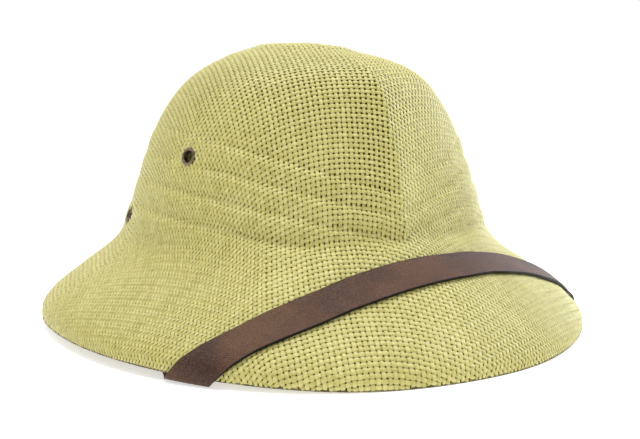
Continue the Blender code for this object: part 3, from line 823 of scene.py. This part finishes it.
# round holes through a piece at the named eyelets, cut with a Boolean and applied
def punchHoles(piece, names):
    cutters = []
    for name in names:
        bpy.ops.mesh.primitive_cylinder_add(vertices=cloth["holeSides"],
                                            radius=cloth["hole"] * mm,
                                            depth=cloth["holeDepth"] * mm)
        cutter = bpy.context.object
        cutter.matrix_world = eyeletMatrix(*eyelets[name])
        cut = piece.modifiers.new("hole", "BOOLEAN")
        cut.operation = "DIFFERENCE"
        cut.solver = "EXACT"
        cut.object = cutter
        cutters.append(cutter)
    bpy.context.view_layer.update()
    evaluated = piece.evaluated_get(bpy.context.evaluated_depsgraph_get())
    finished = bpy.data.meshes.new_from_object(evaluated)
    piece.modifiers.clear()
    piece.data = finished
    for cutter in cutters:
        shape = cutter.data
        bpy.data.objects.remove(cutter)
        bpy.data.meshes.remove(shape)


# the ground behind the threads, over the net itself, outer mm below the form: every cell
# with a corner inside the hem is kept, and corners outside are drawn in to it. Solidify
# gives it its inner side.
def addCloth():
    length = np.hypot(netDisc[..., 0], netDisc[..., 1])[..., None]
    disc = netDisc / np.maximum(length, 1.0)
    inside = (length[..., 0] <= 1.0) & netUsed
    corners = (inside[:-1, :-1], inside[1:, :-1], inside[:-1, 1:], inside[1:, 1:])
    kept = np.any(corners, axis=0)
    lines = netDisc.shape[0]
    index = np.arange(lines * lines).reshape(lines, lines)
    quads = gridQuads(index, True)[kept]
    picked, local = np.unique(quads, return_inverse=True)
    disc = disc.reshape(-1, 2)[picked]
    point, normal = discFrame(disc)
    theta, t = np.arctan2(disc[:, 0], -disc[:, 1]), np.hypot(disc[:, 0], disc[:, 1])
    rim = t > cloth["rim"]
    normal[rim] = shellFrame(theta[rim], t[rim])[1]
    mesh = quadMesh("cloth", point - normal * cloth["outer"], local)
    counts = np.stack(np.meshgrid(np.arange(lines), np.arange(lines), indexing="ij"), -1)
    setUv(mesh, counts.reshape(-1, 2)[picked])
    # outer side: painted shade behind the gaps between the threads
    mesh.materials.append(groundPaintedShade())
    mesh.materials.append(wovenInside())
    piece = newObject("cloth", mesh)
    wall = piece.modifiers.new("wall", "SOLIDIFY")
    wall.thickness = (form["wall"] - cloth["outer"]) * mm
    wall.offset = -1
    wall.material_offset = 1
    wall.material_offset_rim = 1
    punchHoles(piece, list(eyelets))
    placePiece(piece, "shell")


# cotton tape, grey brown and matt, worn a little paler here and there
def boundEdge():
    material, tree, coords = newMaterial("cotton_binding")
    wear = addNoise(tree, coords["Object"], 400.0, 3.0)   # 2.5 mm
    addSurface(tree, {
        "Base Color": addRamp(tree, wear, ((0.35, "#4b4534"), (0.7, "#8d8566"))),
        "Roughness": 0.85, "Specular IOR Level": 0.2})
    return material


# binding of the hem: an ellipse half width * cos, half height * sin carried round the hem,
# its width across the wall and its height upright
def addBinding():
    halfWidth, halfHeight = binding["half"]
    rows, columns = binding["sides"], binding["columns"]
    theta = np.linspace(0, 2 * math.pi, columns, endpoint=False)
    point, normal, down = shellFrame(theta, np.ones_like(theta))
    normal = unit(normal * [1, 1, 0])
    middle = point - normal * (form["wall"] / 2) + [0, 0, halfHeight + binding["foot"]]
    turn = np.linspace(0, 2 * math.pi, rows, endpoint=False)[:, None, None]
    grid = middle + normal * halfWidth * np.cos(turn) + np.array([0, 0, halfHeight]) * np.sin(turn)
    quads = gridQuads(closedGrid(rows, columns, True))
    mesh = quadMesh("hemBinding", grid, quads[..., ::-1])
    mesh.materials.append(boundEdge())
    placePiece(newObject("hemBinding", mesh), "shell")


addCloth()
addBinding()
print("ground and binding made")

# lengths in mm, angles in radians but in the path
strap = {
    "width": 18.5,
    "thickness": 1.6,
    "gap": 0.3,             # above the form, on the straw
    "turn": math.radians(9.0),    # its middle has slid towards the wearer's left
    "frontRadius": 112.5,   # of its middle from the ovals' axis, at the turn
    "brimSlope": math.radians(42.0),
    "reach": math.radians(85.0),
    "reachSamples": 600,
    "edgeZone": 17.0,       # last stretch before the hem, in finer steps
    "pastHem": 14.0,
    "wrapAngle": math.radians(135.0),
    "wallGap": 0.8,         # behind the shell's wall
    "wallRise": math.radians(27.0),
    "wallRun": 44.0,        # from the wall's start to the eyelet
    "end": 10.0,            # past the eyelet
    "hangHeight": 54.5,     # it lies along the wall above this height
    "hangSoftness": 2.0,
    "hangSlope": 0.05,
    "samples": {"brim": 60, "edge": 24, "wrap": 16, "under": 24, "wall": 28},
    # azimuth in degrees, drift towards the hem in mm, with the band's small sways of
    # about 1 mm that the solid leaves out
    "path": np.array([(-50.0, 3.2), (-42.0, 2.0), (-35.0, 0.4), (-28.0, 0.3), (-21.0, 0.6),
                      (-14.0, 0.0), (-7.0, -0.8), (0.0, -1.0), (7.0, -0.3), (14.0, 0.4),
                      (21.0, 0.2), (28.0, -0.6), (35.0, -1.2), (42.0, -1.1), (48.0, -0.6),
                      (54.0, 0.0), (60.0, 0.4), (66.0, 0.6)]),
    # section: share of the half width, and share of the half thickness there
    "across": np.array((-1.0, -0.985, -0.95, -0.6, -0.2, 0.2, 0.6, 0.95, 0.985, 1.0)),
    "plump": np.array((0.85, 1.0, 1.0, 1.0, 1.0, 1.0, 1.0, 1.0, 1.0, 0.85)),
    "painted": (0.95, 0.985),   # shares of the half width: plain up to here, painted from here
    "sharp": math.radians(50.0),
}


# for each row, the value of ys where xs reaches the row's target, by straight lines
def interpRows(target, xs, ys):
    last = xs.shape[1] - 1
    k = np.clip((xs <= target[:, None]).sum(axis=1), 1, last)
    rows = np.arange(len(target))
    x0, x1 = xs[rows, k - 1], xs[rows, k]
    share = np.clip((target - x0) / (x1 - x0), 0, 1)
    return ys[k - 1] + (ys[k] - ys[k - 1]) * share


# profile places from the fold to the hem and the length down the brim to each
def brimLengths(theta):
    t = np.linspace(ovalPlaces[form["fold"]], 1.0, form["steps"])
    steps = np.linalg.norm(np.diff(shellPoint(theta[:, None], t[None, :]), axis=1), axis=-1)
    return t, np.concatenate((np.zeros((len(theta), 1)), np.cumsum(steps, axis=1)), axis=1)


# a straight line on the brim's unrolled cone, shifted by the drift: length down from the
# fold = (front radius / cos slope + shift) / cos(cos slope * turn) - fold
def strapCourse(theta, across):
    flat = math.cos(strap["brimSlope"])
    azimuth, drift = strap["path"].T
    held = np.clip(np.degrees(theta), azimuth[0], azimuth[-1])
    shift = across + monotoneCurve(azimuth, drift, held)
    fold = (ovalColumn("front")[form["fold"]] + ovalColumn("side")[form["fold"]]) / 2 / flat
    return (strap["frontRadius"] / flat + shift) / np.cos(flat * (theta - strap["turn"])) - fold


# place on the crown's wall at each azimuth and height, by 24 halvings of the stretch
def placeOnWall(theta, height):
    low = np.full_like(height, ovalPlaces[form["capFoot"]])
    high = np.full_like(height, ovalPlaces[form["fold"]])
    for step in range(24):
        middle = (low + high) / 2
        above = shellPoint(theta, middle)[..., 2] > height
        low, high = np.where(above, middle, low), np.where(above, high, middle)
    return (low + high) / 2


# behind the wall by depth; below the fold it hangs straight on, height eased by
# softness * log(1 + exp(above / softness))
def hangingPoint(theta, height, depth):
    above = (height - strap["hangHeight"]) / strap["hangSoftness"]
    level = strap["hangHeight"] + strap["hangSoftness"] * np.log1p(np.exp(above))
    point, normal, down = shellFrame(theta, placeOnWall(theta, level))
    outward = np.stack([np.sin(theta), -np.cos(theta), np.zeros_like(theta)], axis=-1)
    drop = (level - height)[:, None]
    return point - normal * depth + outward * drop * strap["hangSlope"] - [0, 0, 1] * drop


# One line along the strap from the front to its end at an eyelet: over the brim on its
# course, round the hem on an arc, by a Hermite cubic under the brim, then up the wall on a
# straight rise. lengths are the brim's at each turn.
def strapLine(side, across, turn, lengths):
    theta = strap["turn"] + side * turn
    pastHem = strapCourse(theta, across) - lengths[:, -1]
    used = int(np.argmax(pastHem > strap["pastHem"]))
    pastHem, turn = pastHem[:used], turn[:used]
    samples = strap["samples"]
    edgeTurn = np.interp(-strap["edgeZone"], pastHem, turn)
    brimTurns = np.linspace(0, edgeTurn, samples["brim"], endpoint=False)
    beforeHem = np.linspace(-strap["edgeZone"], 0, samples["edge"])
    theta = strap["turn"] + side * np.concatenate((brimTurns, np.interp(beforeHem, pastHem, turn)))
    t, brim = brimLengths(theta)
    point, normal, _ = shellFrame(theta, interpRows(strapCourse(theta, across), brim, t))
    over = point + normal * (strap["gap"] + strap["thickness"] / 2)

    radius = form["wall"] / 2 + strap["gap"] + strap["thickness"] / 2
    angle = np.linspace(0, strap["wrapAngle"], samples["wrap"] + 1)[1:]
    theta = strap["turn"] + side * np.interp(angle * radius, pastHem, turn)
    point, normal, down = shellFrame(theta, np.ones_like(theta))
    bend = normal * np.cos(angle)[:, None] + down * np.sin(angle)[:, None]
    wrap = point - normal * form["wall"] / 2 + bend * radius

    along = np.linspace(-strap["wallRun"], strap["end"], samples["wall"])
    azimuth, height = eyeletPlaces["eyelet_strap"]
    rise = strap["wallRise"]
    backward = along * math.cos(rise) - across * math.sin(rise)
    upward = along * math.sin(rise) + across * math.cos(rise)
    theta = side * (math.radians(azimuth) + backward / ovalColumn("side")[form["fold"]])
    depth = form["wall"] + strap["wallGap"] + strap["thickness"] / 2
    wall = hangingPoint(theta, height + upward, depth)

    span = np.linalg.norm(wall[0] - wrap[-1])
    leave, arrive = unit(wrap[-1] - wrap[-2]) * span, unit(wall[1] - wall[0]) * span
    u = np.linspace(0, 1, samples["under"] + 2)[1:-1, None]
    under = (wrap[-1] * (1 + 2 * u) * (1 - u) ** 2 + leave * u * (1 - u) ** 2
             + wall[0] * u * u * (3 - 2 * u) + arrive * u * u * (u - 1))
    return np.concatenate((over, wrap, under, wall))


# the strap's middle surface, thickened both ways by half thickness * plump along its
# normal into a closed section, with its two ends closed
def addStrap():
    turn = np.linspace(0, strap["reach"], strap["reachSamples"])
    offsets = strap["across"] * strap["width"] / 2
    halves = []
    for side in (-1, 1):
        lengths = brimLengths(strap["turn"] + side * turn)[1]
        halves.append(np.stack([strapLine(side, across, turn, lengths) for across in offsets]))
    middle = np.concatenate((halves[0][:, ::-1], halves[1][:, 1:]), axis=1)
    alongStep, acrossStep = np.gradient(middle, axis=1), np.gradient(middle, offsets, axis=0)
    normal = unit(np.cross(acrossStep, alongStep))
    plump = strap["plump"][:, None, None] * strap["thickness"] / 2
    top, bottom = middle + normal * plump, middle - normal * plump
    grid = np.concatenate((top, bottom[::-1]))
    rows, columns = grid.shape[:2]
    index = closedGrid(rows, columns, False)
    upper, lower = index[:rows // 2], index[rows // 2:-1][::-1]
    faces = [gridQuads(index).reshape(-1, 4)]
    for column, order in ((0, 1), (-1, -1)):
        face = np.stack((upper[:-1, column], lower[:-1, column],
                         lower[1:, column], upper[1:, column]), -1)
        faces.append(face[:, ::order])
    mesh = quadMesh("chinStrap", grid, np.concatenate(faces))
    plain, painted = strap["painted"]
    edge = np.clip((np.abs(strap["across"]) - plain) / (painted - plain), 0, 1)
    setValue(mesh, "edge", np.repeat(np.concatenate((edge, edge[::-1])), columns))
    mesh.set_sharp_from_angle(angle=strap["sharp"])
    mesh.materials.append(chinLeather())
    piece = newObject("chinStrap", mesh)
    punchHoles(piece, ["eyelet_strap_left", "eyelet_strap_right"])
    placePiece(piece, "strap")


# Pigmented cowhide: dark reddish brown, satin, cloudy in tone, with fine pebbled grain
# and small whitish glints painted on it as highlights, and cut edges painted nearly
# black. The tone is grain/2 - 0.12 + 0.7 * clouds, and the relief grain + 0.7 * distance
# to a pebble's middle.
def chinLeather():
    material, tree, coords = newMaterial("pigmented_leather")
    place = coords["Object"]
    # pebbles are about 0.4 mm on real leather, drawn at 0.8 mm so that they show
    pebbles = addNode(tree, "ShaderNodeTexVoronoi", {}, {"Vector": place, "Scale": 1250.0})
    grain = addNoise(tree, place, 900.0, 4.0, 0.65)
    clouds = addNoise(tree, place, 35.0, 3.0)   # 30 mm across
    tone = addMath(tree, "MULTIPLY_ADD", grain, 0.5, -0.12)
    tone = addMath(tree, "MULTIPLY_ADD", clouds, 0.7, tone)
    colour = addRamp(tree, tone, ((0.30, "#38231a"), (0.48, "#513423"), (0.68, "#69482f")))
    # glints are painted highlights, lighter specks the size of single grains, drawn 0.45 mm across
    # so that they show
    glints = addRange(tree, addNoise(tree, place, 2200.0, 1.0), 0.58, 0.8, 0.0, 0.4)
    colour = mixColours(tree, glints, colour, hexColour("#a28d7c"))
    colour = mixColours(tree, addAttribute(tree, "edge"), colour, hexColour("#0e0b09"))
    relief = addMath(tree, "MULTIPLY_ADD", pebbles.outputs["Distance"], 0.7, grain)
    addSurface(tree, {
        "Base Color": colour, "Roughness": addRange(tree, grain, 0.3, 0.7, 0.3, 0.55),
        "Specular IOR Level": 0.22, "Normal": addBump(tree, relief, 0.7, 0.0005)})
    return material


addStrap()
print("strap made")

# lengths in mm
eyeletShape = {
    "barrel": 3.7,
    "seat": 0.05,           # between the barrel's ends and what it grips
    "outerRoll": (3.95, 0.1, 0.75, 0.5),   # middle radius and height, half width and height
    "innerRoll": (3.9, 0.1, 0.7, 0.7),
    "segments": 48,
    "arc": 14,
    "sharp": math.radians(50.0),
}


# antique brass: brass under a dull dark brown patina, with lighter rubbed specks
def antiqueBrass():
    material, tree, coords = newMaterial("antique_brass")
    patina = addNoise(tree, coords["Object"], 500.0, 4.0)   # 2 mm
    colour = addRamp(tree, patina, ((0.3, "#4d4236"), (0.55, "#7b6d58"), (0.75, "#a5957b")))
    addSurface(tree, {
        "Base Color": colour, "Metallic": 0.9, "Roughness": 0.38,
        "Normal": addBump(tree, patina, 0.15, 0.0002)})
    return material


brassMaterial = antiqueBrass()


# section of a set eyelet turned about its axis: half an ellipse for the outside flange,
# a plain barrel as long as the grip, and half an ellipse for the inside flange
def addEyelet(name, grip):
    point, normal, down = eyelets[name]
    turn = np.linspace(math.pi, 0, eyeletShape["arc"])
    radius, height, halfWidth, halfHeight = eyeletShape["outerRoll"]
    outer = np.stack([radius + halfWidth * np.cos(turn), height + halfHeight * np.sin(turn)], -1)
    radius, height, halfWidth, halfHeight = eyeletShape["innerRoll"]
    inner = np.stack([radius + halfWidth * np.cos(turn[::-1]),
                      -grip - height - halfHeight * np.sin(turn[::-1])], -1)
    barrel, seat = eyeletShape["barrel"], eyeletShape["seat"]
    barrel = np.array([(barrel, seat), (barrel, -grip - seat)])
    profile = np.concatenate((outer, barrel, inner))
    angle = np.linspace(0, 2 * math.pi, eyeletShape["segments"], endpoint=False)
    around = np.cross(-down, normal)
    spoke = around * np.cos(angle)[:, None] - down * np.sin(angle)[:, None]
    grid = point + spoke * profile[:, None, :1] + normal * profile[:, None, 1:]
    mesh = quadMesh(name, grid, gridQuads(closedGrid(*grid.shape[:2], True)))
    mesh.set_sharp_from_angle(angle=eyeletShape["sharp"])
    mesh.materials.append(brassMaterial)
    words = name.split("_")
    piece = newObject(words[1] + "Eyelet" + words[2].capitalize(), mesh)
    placePiece(piece, name)


strapGrip = form["wall"] + strap["wallGap"] + strap["thickness"] + eyeletShape["seat"]
for eyeletName in eyelets:
    addEyelet(eyeletName, form["wall"] if "vent" in eyeletName else strapGrip)
print("eyelets set")

# m, and the lens in mm
camera = {
    "eye": (-0.29448, -0.55001, 0.15210),
    "target": (0.00768, 0.00744, 0.05141),
    "lens": 64.26,
}
stage = {
    "half": 6.0,              # m, half the floor's side
    "glow": 0.56,             # the floor is lit from below, round the helmet only
    "glowFrom": (0.100, 0.136),   # m from the middle: dark inside, full outside
    "away": (0.475, 0.88, 0.0),   # level direction away from the camera
    "frontLight": 0.55,       # the room's light on the camera's side, 1 on the far side
    "blend": 0.3,             # half the step between them, as a sine
}
# place, target, side of the square in m, watts, colour
lights = {
    "keyLight": ((1.3, 0.0, 0.6), (0.0, 0.0, 0.07), 0.6, 7.0, (0.78, 0.92, 1.30)),   # cool
    "topLight": ((-0.05, 0.0, 1.7), (0.0, 0.0, 0.05), 0.8, 20.0, (1.0, 1.0, 0.95)),
}


# white seamless paper, matt and even, so that the helmet stands on nothing but white; its
# glow is a smooth step of the distance from the middle
def seamlessPaper():
    material, tree, coords = newMaterial("white_seamless_paper")
    middle = addNode(tree, "ShaderNodeVectorMath", {"operation": "LENGTH"}, {
        0: coords["Object"]})
    glow = addRange(tree, middle.outputs["Value"], *stage["glowFrom"], 0.0, stage["glow"],
                    "SMOOTHSTEP")
    addSurface(tree, {
        "Base Color": hexColour("#f6f6f4"), "Roughness": 0.8, "Specular IOR Level": 0.1,
        "Emission Color": (1.0, 1.0, 1.0, 1.0), "Emission Strength": glow})
    return material


# a level floor, and a white room that is darker on the camera's side of the helmet:
# frontLight + (1 - frontLight) * smooth step of the direction away from the camera
def addStage():
    half = stage["half"]
    mesh = bpy.data.meshes.new("floor")
    mesh.from_pydata([(-half, -half, 0), (half, -half, 0), (half, half, 0), (-half, half, 0)],
                     [], [(0, 1, 2, 3)])
    mesh.materials.append(seamlessPaper())
    floor = newObject("floor", mesh)
    world = bpy.data.worlds.new("studio")
    bpy.context.scene.world = world
    world.use_nodes = True
    tree = world.node_tree
    coords = addNode(tree, "ShaderNodeTexCoord")
    away = addNode(tree, "ShaderNodeVectorMath", {"operation": "DOT_PRODUCT"}, {
        0: coords.outputs["Generated"], 1: stage["away"]})
    light = addRange(tree, away.outputs["Value"], -stage["blend"], stage["blend"],
                     stage["frontLight"], 1.0, "SMOOTHSTEP")
    tree.links.new(light, tree.nodes["Background"].inputs["Strength"])
    tree.nodes["Background"].inputs["Color"].default_value = (1.0, 1.0, 1.0, 1.0)
    bpy.context.scene.view_settings.view_transform = "Standard"


# turns a thing at a place so that it looks at the target
def aim(thing, place, target):
    thing.location = place
    thing.rotation_euler = (Vector(target) - Vector(place)).to_track_quat("-Z", "Y").to_euler()


# square soft light
def addLight(name, place, target, size, power, colour):
    light = bpy.data.lights.new(name, "AREA")
    light.shape = "SQUARE"
    light.size = size
    light.energy = power
    light.color = colour
    aim(newObject(name, light), place, target)


# the camera of the photo, worked out from its perspective
def addCamera():
    data = bpy.data.cameras.new("camera")
    data.sensor_width = 36.0
    data.sensor_fit = "HORIZONTAL"
    data.lens = camera["lens"]
    data.clip_start = 0.01
    view = newObject("camera", data)
    aim(view, camera["eye"], camera["target"])
    bpy.context.scene.camera = view


addStage()
for lightName, lightValues in lights.items():
    addLight(lightName, *lightValues)
addCamera()
print("stage, lights and camera set")
